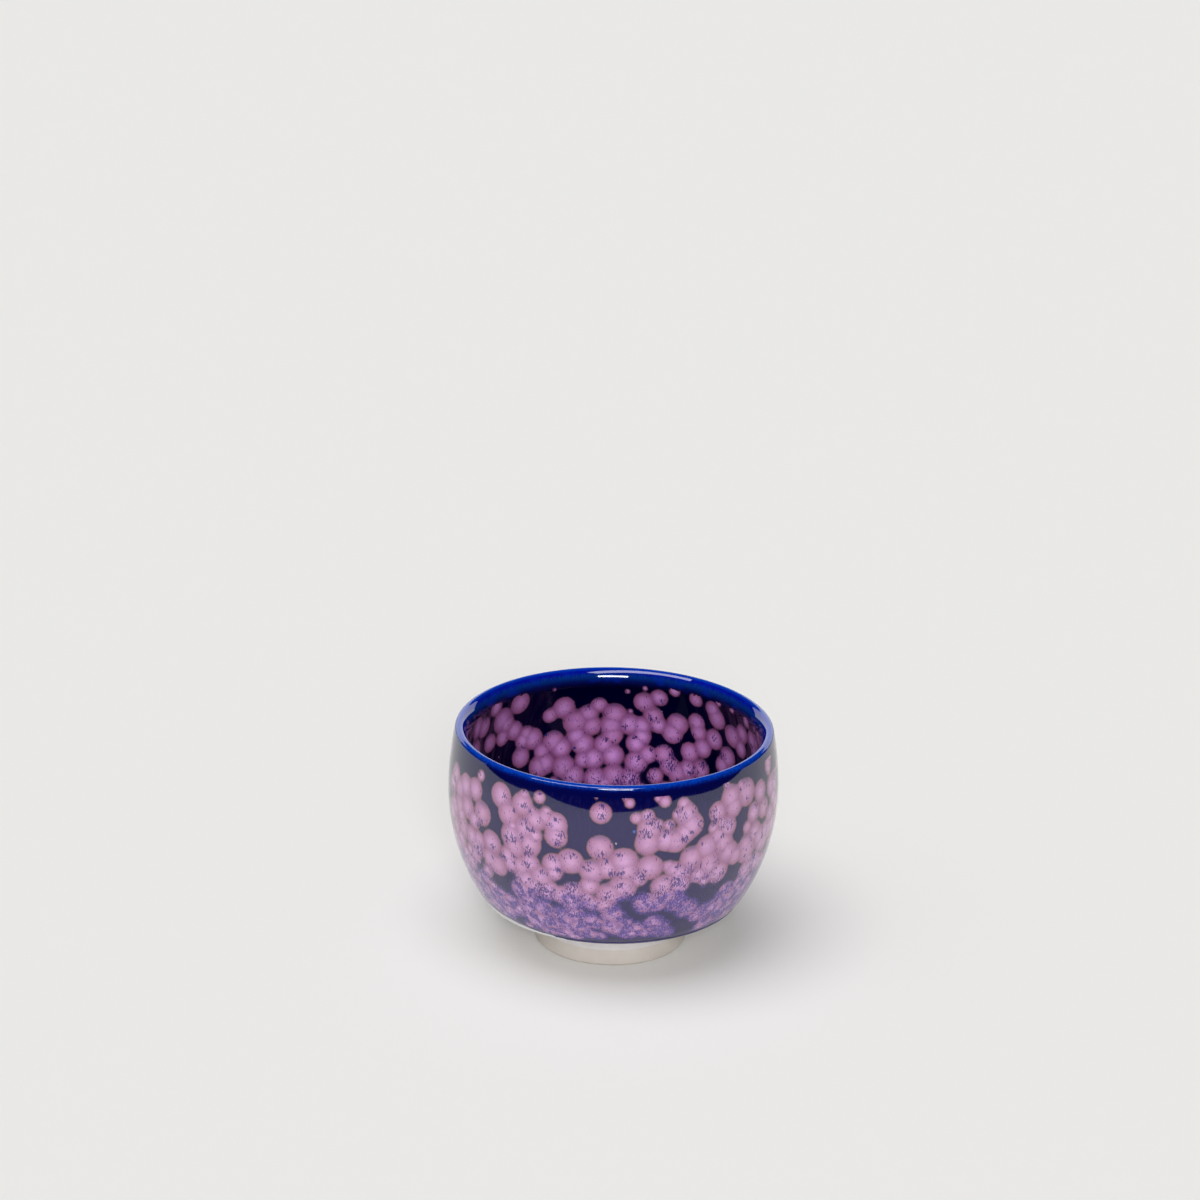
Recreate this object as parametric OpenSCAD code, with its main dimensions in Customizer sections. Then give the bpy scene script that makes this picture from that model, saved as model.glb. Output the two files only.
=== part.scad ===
// Sake cup: a thrown porcelain bowl on a turned foot ring, coated in cobalt glaze with
// round crystals grown in it. The axis is Z, the foot ring stands on Z = 0, and the
// origin is the middle of the ring where it stands.

/* [Bowl] */
// Outside diameter at the widest ring, over the glaze
body_d = 65; // [58:0.5:80]
// Overall height, from the table to the top of the lip
cup_h = 45.15; // [42:0.05:56]
// Thickness of the clay at the widest ring
wall_t = 2.2; // [1.6:0.1:2.6]
// Thickness of the clay in the middle of the floor, above the foot ring
floor_t = 4.8; // [4:0.1:6]
// Radius of the lip's round, over the glaze
lip_r = 0.9; // [0.8:0.05:1.1]
// How far the lip's outer side draws in from the widest ring
mouth_draw = 1.2; // [0.9:0.1:1.6]
// Radius of the bevel that runs from the lip down into the mouth, over the glaze
bevel_r = 3.8; // [3.2:0.1:4.4]
// Slope at which the lip's round gives way to the bevel, in degrees from level
bevel_slope = 45; // [38:1:52]
// Radius of the flank, below the widest ring
flank_r = 40; // [36:0.5:46]
// Radius of the turn from the flank to the underside
turn_r = 9.2; // [7:0.1:12]
// Radius of the underside, between the turn and the foot
under_r = 60; // [50:1:75]
// Slope of the flank where the turn begins, in degrees from upright
turn_start = 30; // [26:1:33]
// Slope of the underside where the turn ends, in degrees from upright
turn_end = 64; // [62:1:66]
// Slope of the inside where it turns in to the floor, in degrees from upright
inner_turn_start = 27; // [24:1:30]
// Slope of the floor where the turn ends, in degrees from upright
floor_edge = 80; // [76:1:84]

/* [Foot] */
// Outside diameter of the foot ring where it stands
foot_d = 30; // [26:0.5:34]
// Height of the foot ring
foot_h = 3.3; // [2.5:0.1:5]
// Width of the foot ring where it stands
foot_w = 2.8; // [2:0.1:4]
// How much narrower the ring's outer wall is at its top than where it stands
foot_draft = 0.25; // [0:0.05:0.6]
// How much the ring's inner wall comes in towards its top
foot_flare = 0.6; // [0.2:0.1:1.2]
// Bevel on the two edges that the ring stands on
foot_bevel = 0.4; // [0.2:0.1:0.8]
// Height of the bare neck between the foot ring and the underside
neck_h = 2.3; // [1.8:0.1:3]
// Radius of the cove that runs from the neck into the underside
cove_r = 1.4; // [0.8:0.1:1.8]
// Depth of the turned dish inside the foot ring
dish_depth = 0.7; // [0.3:0.1:1.2]
// Width of the flat seat that the dish leaves inside the foot ring
dish_rim = 0.5; // [0.2:0.1:1]

/* [Glaze] */
// Thickness of the outer glaze on the flank
glaze_t = 0.45; // [0.35:0.05:0.7]
// Thickness of the glaze lining
lining_t = 0.35; // [0.3:0.05:0.6]
// Thickness of the glaze over the lip, where it runs thin
lip_glaze_t = 0.28; // [0.2:0.02:0.4]
// Depth of the lip band on the outside, from the top of the lip
band_out = 2.1; // [1.6:0.1:3]
// Depth of the lip band on the inside, from the top of the lip
band_in = 2.6; // [2:0.1:3.5]
// Slope of the turn where the outer glaze stops, in degrees from upright
glaze_end = 47; // [44:1:60]
// Radius of the rolled edge where the running glaze stopped
roll_r = 0.32; // [0.25:0.01:0.4]

/* [Hidden] */

$fn = 120;
// Facets of the large arcs, which thin layers of glaze follow
fine = 720;

porcelain_color = "#efeae0";
glaze_color = "#15124a";
lip_color = "#0b2f9e";

body_r = body_d / 2;
foot_r = foot_d / 2;
neck_r = foot_r - foot_draft;
clay_lip_r = lip_r - lip_glaze_t;
clay_bevel_r = bevel_r - lip_glaze_t;
cavity_r = body_r - glaze_t - wall_t - lining_t;
// A length past every edge of the cup, for cuts
far = 2 * (body_d + cup_h);
// How far a disc of the profile runs on inside the larger disc that it touches
lap = 0.1;
// How far a round stands out from the arc that runs into it
bead = 0.003;

// Centres of the lip's round and of the bevel, which the round touches from within. The
// glaze and the clay under it share both centres.
lip_c = [body_r - mouth_draw - lip_r, cup_h - lip_r];
lip_way = [-sin(bevel_slope), cos(bevel_slope)];
bevel_c = lip_c - (bevel_r - lip_r + bead) * lip_way;

// Centres of the outside's arcs, with heights counted from the widest ring. Every layer
// of the wall shares them, so glaze and clay keep their thickness round the turn.
function along(c, len, slope) = [c[0] + len * cos(slope), c[1] - len * sin(slope)];
flank_off = [body_r - flank_r, 0];
turn_off = along(flank_off, flank_r - turn_r, turn_start);
under_off = along(turn_off, turn_r - under_r, turn_end);

// Height of a circle's lower side at radius r
function low_side(c, radius, r) = c[1] - sqrt(pow(radius, 2) - pow(r - c[0], 2));

// The widest ring's height, from where the clay's underside meets the neck
neck_top = foot_h + neck_h;
belly_h = neck_top - low_side(under_off, under_r - glaze_t, neck_r);
function lift(c) = [c[0], c[1] + belly_h];
flank_c = lift(flank_off);
turn_c = lift(turn_off);
under_c = lift(under_off);

// The inside follows the flank at the wall's thickness, turns in, and closes in a dished
// floor. The turn's radius is the one that brings the floor to its own height.
floor_z = foot_h + floor_t + lining_t;
inner_flank_r = cavity_r - flank_c[0];
floor_tan = tan(45 - floor_edge / 2);
inner_turn_r = (belly_h - floor_z - inner_flank_r * sin(inner_turn_start)
    - floor_tan * (flank_c[0] + inner_flank_r * cos(inner_turn_start)))
    / (1 - sin(inner_turn_start) - floor_tan * cos(inner_turn_start));
inner_turn_c = along(flank_c, inner_flank_r - inner_turn_r, inner_turn_start);
floor_r = inner_turn_r + inner_turn_c[0] / cos(floor_edge);
floor_c = [0, floor_z + floor_r];

// Radius of the arc that is upright at the widest ring, at radius r, and meets a circle:
// the lip's from within on the outside of the wall, and the bevel's from without on the
// inside. The arc runs a bead under the circle's own surface, so the two cross cleanly.
function outer_top_r(r, lip) = let (way = lip_c - [r, belly_h], touch = lip - bead)
    (pow(touch, 2) - way * way) / (2 * (way[0] + touch));
function inner_top_r(r, bevel) = let (way = bevel_c - [r, belly_h], touch = bevel - bead)
    (way * way - pow(touch, 2)) / (2 * (touch - way[0]));
// Height at which such an arc meets the circle
function top_z(top_c, top_r, c) = belly_h + top_r * (c - top_c)[1] / norm(c - top_c);

// The part of a disc between two heights, filled in to the axis
module band(c, radius, low, high) {
    intersection() {
        translate(c) circle(radius, $fn = fine);
        translate([0, low]) square([far, high - low]);
    }
    if (c[0] > 0) translate([0, low]) square([c[0], high - low]);
}

// All that lies inside the outer surface, t under the glaze's own surface
module outside(t, lip) {
    r = body_r - t;
    top_r = outer_top_r(r, lip);
    top_c = [r - top_r, belly_h];
    turn_z = along(flank_c, flank_r - t, turn_start)[1];
    under_z = along(turn_c, turn_r - t, turn_end)[1];
    band(top_c, top_r, belly_h, top_z(top_c, top_r, lip_c));
    band(flank_c, flank_r - t, turn_z, belly_h + lap);
    band(turn_c, turn_r - t, under_z - lap, turn_z + lap);
    band(under_c, under_r - t, foot_h, under_z);
}

// All that lies inside the cavity's surface, t out from the lining's own surface
module inside(t, bevel) {
    r = cavity_r + t;
    top_r = inner_top_r(r, bevel);
    top_c = [r - top_r, belly_h];
    bevel_z = top_z(top_c, top_r, bevel_c);
    turn_z = along(flank_c, inner_flank_r + t, inner_turn_start)[1];
    edge_z = along(inner_turn_c, inner_turn_r + t, floor_edge)[1];
    difference() {
        union() {
            translate([0, bevel_z]) square([lip_c[0], far]);
            band(top_c, top_r, belly_h, bevel_z + lap);
        }
        translate(bevel_c) circle(bevel, $fn = fine);
    }
    band(flank_c, inner_flank_r + t, turn_z, belly_h + lap);
    band(inner_turn_c, inner_turn_r + t, edge_z - lap, turn_z + lap);
    band(floor_c, floor_r + t, floor_z - t, edge_z);
}

// The wall's section between two such surfaces, closed by the lip's round and by the end
// of the bevel behind it
module wall(out_t, in_t, lip, bevel) {
    difference() {
        outside(out_t, lip);
        inside(in_t, bevel);
    }
    translate(lip_c) circle(lip);
    crest = lip_c + 2 * lip_r * lip_way;
    intersection() {
        translate(bevel_c) circle(bevel, $fn = fine);
        polygon([lip_c, crest, [0, crest[1]], [0, lip_c[1] - lap], [lip_c[0], lip_c[1] - lap]]);
    }
}

// The cove between the neck and the underside of the clay
module cove() {
    radius = under_r - glaze_t;
    c_r = neck_r + cove_r;
    c = [c_r, low_side(under_c, radius + cove_r, c_r)];
    touch = under_c + radius / (radius + cove_r) * (c - under_c);
    difference() {
        polygon([[neck_r, c[1]], c, touch, [touch[0], neck_top + neck_h], [neck_r, neck_top + neck_h]]);
        translate(c) circle(cove_r);
    }
}

// Section of the clay, from the seat of the foot ring up
module clay() {
    dish_r = foot_r - foot_w - foot_flare - dish_rim;
    dish_big_r = (pow(dish_r, 2) + pow(dish_depth, 2)) / (2 * dish_depth);
    difference() {
        union() {
            wall(glaze_t, lining_t, clay_lip_r, clay_bevel_r);
            translate([0, foot_h]) square([neck_r, neck_h + lap]);
            cove();
        }
        translate([0, foot_h + dish_depth - dish_big_r]) circle(dish_big_r);
    }
}

// Section of the outer glaze, which stops on the turn in a rolled edge
module outer_coat() {
    difference() {
        union() {
            intersection() {
                outside(0, lip_r);
                translate(turn_c) rotate(-glaze_end) translate([-far, 0]) square([2 * far, far]);
                translate([turn_c[0], 0]) square([far, cup_h - band_out]);
            }
            translate(along(turn_c, turn_r - glaze_t + roll_r, glaze_end)) circle(roll_r);
        }
        outside(glaze_t, clay_lip_r);
    }
}

// Section of the lining, up to the lip band
module lining() {
    difference() {
        intersection() {
            inside(lining_t, clay_bevel_r);
            square([lip_c[0], cup_h - band_in]);
        }
        inside(0, bevel_r);
    }
}

// Section of the band of thin glaze over the lip
module lip_band() {
    difference() {
        intersection() {
            wall(0, 0, lip_r, bevel_r);
            polygon([[0, far], [0, cup_h - band_in], [lip_c[0], cup_h - band_in],
                [lip_c[0], cup_h - band_out], [far, cup_h - band_out], [far, far]]);
        }
        wall(glaze_t, lining_t, clay_lip_r, clay_bevel_r);
    }
}

module porcelain_body() {
    color(porcelain_color) rotate_extrude() clay();
}

module foot_ring() {
    in_r = foot_r - foot_w;
    color(porcelain_color) rotate_extrude() polygon([
        [in_r + foot_bevel, 0], [foot_r - foot_bevel, 0], [foot_r, foot_bevel],
        [neck_r, foot_h], [in_r - foot_flare, foot_h], [in_r, foot_bevel]]);
}

module outer_glaze() {
    color(glaze_color) rotate_extrude() outer_coat();
}

module inner_glaze() {
    color(glaze_color) rotate_extrude() lining();
}

module lip_glaze() {
    color(lip_color) rotate_extrude() lip_band();
}

porcelain_body();
foot_ring();
outer_glaze();
inner_glaze();
lip_glaze();
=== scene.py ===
"""Looks of the sake cup: a porcelain bowl on a turned foot ring, in cobalt glaze with round
pink crystals, on a pale table in soft light. Lengths are metres and angles degrees."""

import math

import bpy
import numpy as np
from mathutils import Matrix, Vector


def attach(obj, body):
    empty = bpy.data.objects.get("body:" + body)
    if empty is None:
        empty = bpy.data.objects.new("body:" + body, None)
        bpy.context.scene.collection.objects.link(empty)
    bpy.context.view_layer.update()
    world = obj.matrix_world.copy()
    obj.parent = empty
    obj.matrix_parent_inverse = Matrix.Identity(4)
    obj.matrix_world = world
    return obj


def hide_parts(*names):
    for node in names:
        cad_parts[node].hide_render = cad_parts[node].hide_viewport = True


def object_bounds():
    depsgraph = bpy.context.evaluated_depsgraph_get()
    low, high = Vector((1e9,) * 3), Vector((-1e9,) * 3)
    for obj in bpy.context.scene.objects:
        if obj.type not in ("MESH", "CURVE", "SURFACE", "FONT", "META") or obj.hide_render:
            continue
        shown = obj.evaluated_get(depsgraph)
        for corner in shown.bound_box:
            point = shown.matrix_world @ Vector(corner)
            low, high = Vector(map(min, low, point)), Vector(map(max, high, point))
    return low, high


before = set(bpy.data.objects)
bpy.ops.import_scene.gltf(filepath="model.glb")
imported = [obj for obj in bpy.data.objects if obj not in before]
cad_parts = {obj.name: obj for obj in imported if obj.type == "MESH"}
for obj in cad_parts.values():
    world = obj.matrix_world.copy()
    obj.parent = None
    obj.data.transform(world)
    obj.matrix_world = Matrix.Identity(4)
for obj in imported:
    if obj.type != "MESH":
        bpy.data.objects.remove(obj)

cad_low, cad_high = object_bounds()

# The cup's sizes, the same as in the model that it stands for
MM = 0.001
body_r = cad_high.x
cup_h = 45.15 * MM
wall_t = 2.2 * MM
floor_t = 4.8 * MM
lip_r = 0.9 * MM
mouth_draw = 1.2 * MM
bevel_r = 3.8 * MM
bevel_slope = 45
flank_r = 40 * MM
turn_r = 9.2 * MM
under_r = 60 * MM
turn_start = 30
turn_end = 64
inner_turn_start = 27
floor_edge = 80
foot_h = 3.3 * MM
neck_h = 2.3 * MM
neck_r = 14.75 * MM
glaze_t = 0.45 * MM
lining_t = 0.35 * MM
lip_glaze_t = 0.28 * MM
band_out = 2.1 * MM
band_in = 2.6 * MM
glaze_end = 47
roll_r = 0.32 * MM
# The cobalt ends lower on the right than on the left, where the glaze's edge is colourless
cobalt_end = 9.75 * MM
cobalt_rise = 2.6 * MM

# How finely the coats are drawn: along the section, on the side that lies on the clay, and
# round the axis. Points nearer to each other than the last step are one.
row_step = 0.26 * MM
lip_step = row_step / 2
roll_step = row_step / 3
hidden_step = 2.0 * MM
around = 768
same_point = row_step / 10

# A full crystal's radius, the height that the tables of crystals count in, how wide two
# crystals melt into each other, and how wide the seam between them is
crystal_r = 2.56 * MM
pattern_h = 45.45 * MM
melt_width = 0.26 * MM
seam_width = 0.16 * MM

# Crystals on the side that faces the camera: azimuth in degrees from the camera, to the
# right, then the share of the pattern's height and the share of a full crystal's radius
outer_shares = [
    (-53, .92, .46), (-42, .877, 1), (-32.5, .868, .93), (-32, .91, .43), (-26, .916, .5),
    (-4, .882, .84), (5.8, .926, .4), (18.2, .925, .5), (25, .905, .52), (45, .88, 1.02),
    (50.5, .91, .46), (53, .873, 1.12), (70, .91, .6), (-71.5, .845, .88), (-62, .835, .98),
    (-55.5, .848, .92), (-38, .81, 1), (-23, .862, .4), (-23.5, .835, .63), (-19.5, .813, .95),
    (8, .862, .46), (12, .868, .55), (12.5, .808, .94), (19.5, .82, .45), (26, .856, .95),
    (28, .805, 1), (38.5, .835, .84), (46, .835, .9), (62, .84, .92), (57, .765, .86),
    (53, .715, .54), (71.5, .82, .95), (-66.5, .805, .9), (-60, .75, .98), (-50.5, .76, 1),
    (-55, .712, .8), (-71, .7, .95), (-27, .815, .88), (-31, .765, .94), (-36.5, .715, .98),
    (-27, .744, .63), (-29, .7, 1), (-35, .67, .95), (-19.2, .76, .93), (-4, .73, 1),
    (12, .75, 1), (18.5, .755, .9), (22, .746, .94), (25.5, .775, .86), (43, .755, .9),
    (38.5, .727, .78), (64, .755, .85), (-45.5, .648, 1.02), (-38, .618, .75),
    (-29, .612, .87), (-20, .63, .92), (-14, .655, 1.04), (-6.5, .618, 1), (-1.5, .635, .88),
    (4, .67, 1.1), (5, .625, .95), (13, .636, 1.04), (19.5, .635, .5), (21.5, .615, .66),
    (28, .655, 1), (34, .69, 1.02), (41, .688, .95), (43.5, .636, 1), (35, .615, 1),
    (53, .632, 1), (58, .67, .92), (61.5, .632, .95), (69.5, .63, .98), (-57, .625, .95),
    (-63, .64, .95), (-52.5, .63, .78), (-43.5, .55, .98), (-37, .585, .8),
    (-32.5, .583, .88), (-25, .556, .98), (-31, .525, .95), (-28, .503, .86),
    (-20, .588, .68), (-7.5, .545, .78), (-.5, .51, 1), (4, .545, 1.08), (24, .59, .88),
    (31.5, .565, .72), (35.5, .6, .87), (40, .552, .98), (18, .54, .96), (24.5, .535, .85),
    (-54.5, .585, .88), (-47, .565, .9), (54, .605, 1.14), (47.5, .605, .82),
    (-13, .51, .84), (-17.5, .482, .86), (-14, .45, .8), (-33.5, .458, .98),
    (-31.5, .418, .86), (-32.5, .37, .86), (12.5, .457, .92), (20, .48, .86), (24, .443, .82),
    (-2.5, .453, .7), (.5, .4, .82), (-26, .39, .86), (-13, .384, .8), (-7.2, .365, .56),
    (0, .33, .75), (29.5, .395, .86), (16.5, .348, .66), (38.5, .355, .8), (45, .335, .78),
    (46.3, .43, .88), (-22, .31, .55), (-11.5, .323, .72), (-40, .38, .68), (-45, .362, .8),
    (21, .282, .64), (55.5, .5, .9), (56.5, .355, .86), (-5.8, .95, .15), (4, .949, .18),
    (15.6, .94, .27), (43.2, .94, .33), (70.5, .927, .67), (-8, .278, .5), (-13, .26, .45),
    (9, .288, .52), (-28.5, .852, .32), (22.5, .862, .42), (9.3, .583, .66), (15.5, .83, .42),
    (36.5, .77, .48), (40.3, .78, .6), (34.3, .526, .42), (-37.5, .345, .6),
    (-35.5, .257, .36), (-20.3, .26, .36), (-16, .34, .45), (-5, .34, .56), (-6.5, .452, .66),
    (-8.5, .485, .5), (-22, .508, .72), (5.5, .352, .5), (10.3, .32, .55), (14.5, .287, .52),
    (-4, .27, .42), (24.5, .268, .45), (49.3, .27, .62), (39.7, .295, .36), (53, .446, .6),
    (61, .517, .88), (66, .59, .85), (63.5, .5, .8), (-60.5, .495, .88), (-66, .57, .88),
    (-56, .54, .72), (-58, .396, .72), (-52, .326, .66), (-49.5, .495, .6), (-44.5, .3, .62),
    (-52.5, .45, .64), (-66, .44, .88), (-70, .53, .88), (-48.5, .418, .55), (66, .64, .9),
    (70, .7, .88), (64, .594, .86), (-66, .726, .92), (-64.5, .69, .8), (-70, .616, .92),
    (-74, .79, .88), (74, .76, .88), (-36, .76, .5), (-33, .73, .5)]

# Places low on the wall where the ground shows between the crystals, told the same way
bare_shares = [
    (-18.5, .553, .35), (-16, .575, .35), (-13, .578, .35), (-25.5, .612, .3), (-21, .43, .32),
    (-9, .44, .22), (7, .455, .62), (12, .4, .5), (13.5, .553, .25), (11, .52, .25),
    (24.5, .375, .55), (31, .493, .6), (36, .475, .75), (41, .46, .62), (46.5, .53, .55),
    (30, .275, .85), (0, .27, .3), (-42, .468, .66), (-38.5, .495, .42), (-40, .425, .36),
    (50, .71, .8), (62.5, .575, .5)]

# Crystals on the inside that faces the camera, told the same way
inner_shares = [
    (114.4, .91, .54), (125.4, .925, .33), (118.9, .833, .83), (126, .793, .96),
    (135, .844, .9), (137.1, .883, .75), (133.4, .927, .29), (136.7, .738, .88),
    (120.3, .756, .79), (128.7, .678, .92), (131.7, .632, .75), (110.4, .837, .83),
    (106, .846, .75), (145.5, .905, .63), (155.2, .923, .5), (162, .877, .75),
    (167.8, .916, .23), (175, .894, .23), (168.3, .846, .88), (164.4, .782, .83),
    (145.5, .793, .79), (144.6, .747, .75), (154.1, .764, .92), (156.4, .714, .92),
    (142.3, .678, .83), (148.4, .641, .83), (162.5, .742, .75), (169.4, .727, .83),
    (174, .731, .92), (169, .678, .79), (171.3, .641, .83), (166.3, .595, .75),
    (170.9, .555, .92), (159.5, .606, .83), (156.8, .56, .83), (148.4, .56, .83),
    (142.3, .577, .83), (162.5, .504, .67), (153, .533, .83), (173.2, .482, .83),
    (173.8, .795, .21), (180, .778, .96), (186.3, .824, .67), (190.5, .782, .83),
    (189.1, .722, .83), (195.6, .747, 1.08), (195.2, .678, .83), (200.8, .822, .96),
    (206.5, .793, .67), (205.4, .919, .17), (192.6, .637, .92), (205, .665, .92),
    (201.7, .628, .88), (181.3, .722, .92), (180.7, .674, .83), (184.2, .632, .79),
    (180.5, .581, .92), (188.4, .568, .88), (192.6, .564, .67), (187.8, .478, .92),
    (201, .542, .96), (197.1, .496, .92), (209, .568, .88), (210.1, .628, .71),
    (180, .491, .92), (221.5, .89, .96), (235.6, .912, .75), (230.6, .833, 1.08),
    (228, .806, .83), (223.4, .76, .83), (229.9, .747, .75), (214.2, .696, .92),
    (217.3, .727, .71), (219, .7, .75), (220.3, .623, .88), (243.2, .846, .88),
    (237.9, .749, .79), (249.7, .87, .92), (212, .559, .92)]

# Places where dark needles lie thick on the crystals: azimuth, share of the height, and
# share of a full crystal's radius that they cover
outer_needle_shares = [
    (-32, .863, .36), (-35.5, .828, .3), (-25.5, .815, .26), (-19.2, .83, .3), (-17.6, .77, .4),
    (-18.5, .733, .4), (-3.2, .91, .3), (-3.2, .868, .45), (-4, .694, .4), (12.5, .872, .45),
    (14.5, .84, .5), (11.2, .79, .5), (18.5, .785, .5), (20, .815, .4), (24.8, .85, .35),
    (31, .804, .4), (36.5, .83, .5), (37, .8, .5), (40.5, .78, .5), (44, .755, .4),
    (25.2, .745, .35), (-51, .716, .45), (-31.3, .79, .4), (-30, .765, .35), (-35.7, .705, .4),
    (-29.7, .665, .5), (-13.5, .69, .4), (-8, .635, .45), (-20.3, .65, .4), (-45, .63, .3),
    (-30, .6, .5), (3, .61, .4), (.5, .61, .4), (10, .6, .5), (-24.5, .58, .3), (3, .553, .4),
    (5.8, .505, .4), (-25, .485, 1), (-13.5, .525, .7), (-12, .475, .6), (18, .5, .8),
    (24, .545, .8), (22, .44, .8), (-16, .42, .8), (-7, .42, .8), (-1.5, .5, .5), (0, .42, .7),
    (-53, .575, .6), (-52, .52, .6), (-40, .6, .4), (42, .54, .4), (37.5, .36, .8),
    (29, .4, .8)]
inner_needle_shares = [
    (168.4, .815, .25), (163.3, .763, .3), (162.8, .662, .5), (154.8, .612, .7),
    (156.2, .562, .6), (140.9, .6, .5), (173.5, .48, .7), (166.5, .5, .8), (148.2, .728, .4),
    (136.9, .74, .35), (152.9, .675, .4), (132.3, .675, .4), (183.5, .653, .3),
    (161.8, .565, .5), (146, .56, .6), (178.2, .467, .5), (171.3, .725, .2), (188.7, .49, .2)]

# Single dots in the glaze, told the same way
blue_dot_shares = [(7.4, .803, .13), (196, .62, .12), (-152, .7, .12)]
pale_dot_shares = [(1.3, .75, .09), (161, .81, .09), (-128, .66, .09)]

# The tables are copied to the sides that the photograph doesn't show: how far round each
# copy lies, how much of the table it takes to the left and right of the middle, and how far
# its crystals are scattered in azimuth, in height and in size
copy_turns = ((180, 74), (90, 18), (270, 18))
scatter_azimuth = 2.5
scatter_share = 0.012
scatter_size_shares = (0.85, 1.12)

# More crystals fill the gaps low on the wall: between which shares of the height, how many
# are tried, their sizes, how near one comes to the next as a share of either radius, and
# over which part of the height they thin out upwards
outer_fill_shares = (0.24, 0.56)
outer_fill_tries = 900
inner_fill_shares = (0.2, 0.5)
inner_fill_tries = 500
fill_size_shares = (0.5, 0.95)
fill_gap_share = 0.8
fill_fade = 3

# Small clusters of needles: how many of the crystals have one, how far off the middle it
# lies, and its size. The needles thin out to nothing at their reach, in cluster radii.
cluster_share = 0.5
cluster_off_shares = (0.35, 0.8)
cluster_size_shares = (0.15, 0.32)
needle_reach = 1.4
random_seed = 7


class Graph:
    """Short calls for building the nodes of a material or the world."""

    def __init__(self, owner):
        self.tree = owner.node_tree
        self.shader = self.tree.nodes.get("Principled BSDF")

    def add(self, kind, inputs, **settings):
        made = self.tree.nodes.new(kind)
        for name, value in settings.items():
            setattr(made, name, value)
        for key, value in inputs.items():
            self.set(made.inputs[key], value)
        return made

    def set(self, socket, value):
        if isinstance(value, bpy.types.NodeSocket):
            self.tree.links.new(value, socket)
        else:
            socket.default_value = value

    def math(self, operation, first, second=0.0, clamp=False):
        made = self.add("ShaderNodeMath", {0: first, 1: second}, operation=operation, use_clamp=clamp)
        return made.outputs[0]

    def step(self, value, low, high, out_low=0.0, out_high=1.0):
        """A smooth step from out_low to out_high as value goes from low to high."""
        made = self.add(
            "ShaderNodeMapRange",
            {"Value": value, "From Min": low, "From Max": high, "To Min": out_low, "To Max": out_high},
            interpolation_type="SMOOTHSTEP")
        return made.outputs["Result"]

    def mix(self, share, first, second):
        """The first colour, with a share of the second. A Mix node's colour sockets have the
        numbers 6 and 7, and 2 where they come out."""
        made = self.add("ShaderNodeMix", {"Factor": share}, data_type="RGBA")
        self.set(made.inputs[6], first)
        self.set(made.inputs[7], second)
        return made.outputs[2]

    def blend(self, value, limits, share, first, second):
        """The first colour, and up to a share of the second as value passes its limits."""
        return self.mix(self.times(self.step(value, *limits), share), first, second)

    def value_of(self, name):
        """A field that is written on the mesh."""
        made = self.add("ShaderNodeAttribute", {}, attribute_name=name, attribute_type="GEOMETRY")
        return made.outputs["Fac"]

    def place(self, stretch=(1, 1, 1)):
        """The place on the object, in metres, with each axis stretched."""
        where = self.add("ShaderNodeTexCoord", {})
        made = self.add("ShaderNodeMapping", {"Vector": where.outputs["Object"], "Scale": stretch})
        return made.outputs[0]

    def noise(self, vector, grain, detail=2.0, rough=0.5):
        """Noise whose blotches are about grain metres across."""
        made = self.add(
            "ShaderNodeTexNoise",
            {"Vector": vector, "Scale": 1 / grain, "Detail": detail, "Roughness": rough})
        return made.outputs["Fac"]

    def times(self, first, second):
        return self.math("MULTIPLY", first, second)

    def plus(self, first, second):
        return self.math("ADD", first, second)

    def minus(self, first, second):
        return self.math("SUBTRACT", first, second)

    def centred(self, value):
        """A noise's value, moved so that its middle is zero."""
        return self.minus(value, 0.5)

    def bump(self, height, distance, strength):
        made = self.add(
            "ShaderNodeBump", {"Height": height, "Distance": distance, "Strength": strength})
        self.tree.links.new(made.outputs[0], self.shader.inputs["Normal"])


def linear(red, green, blue):
    """A colour from the usual 0 to 255 steps, as the shader wants it."""
    steps = [x / 255 for x in (red, green, blue)]
    return (*[x / 12.92 if x < 0.04045 else ((x + 0.055) / 1.055) ** 2.4 for x in steps], 1)


def new_material(name, **values):
    material = bpy.data.materials.new(name)
    material.use_nodes = True
    shader = material.node_tree.nodes["Principled BSDF"]
    for key, value in values.items():
        shader.inputs[key.replace("_", " ")].default_value = value
    return material


# The section: arcs whose slope is counted from upright, so that an arc's point is its
# centre plus its radius along (cos slope, -sin slope)

def along(centre, length, slope):
    """The point that lies at that length from a centre, the way the slope points."""
    angle = math.radians(slope)
    return np.array(centre) + length * np.array([math.cos(angle), -math.sin(angle)])


def low_side(centre, radius, r):
    """Height of an arc's lower side at a distance from the axis."""
    return centre[1] - math.sqrt(radius ** 2 - (r - centre[0]) ** 2)


cavity_r = body_r - glaze_t - wall_t - lining_t
lip_c = np.array([body_r - mouth_draw - lip_r, cup_h - lip_r])
# The lip's inner side is a wide bevel, the part of a larger circle that the lip's own
# circle touches from within
bevel_c = lip_c + (bevel_r - lip_r) * np.array([
    math.sin(math.radians(bevel_slope)), -math.cos(math.radians(bevel_slope))])

flank_off = np.array([body_r - flank_r, 0.0])
turn_off = along(flank_off, flank_r - turn_r, turn_start)
under_off = along(turn_off, turn_r - under_r, turn_end)
belly_h = foot_h + neck_h - low_side(under_off, under_r - glaze_t, neck_r)
flank_c = flank_off + (0, belly_h)
turn_c = turn_off + (0, belly_h)

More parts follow.
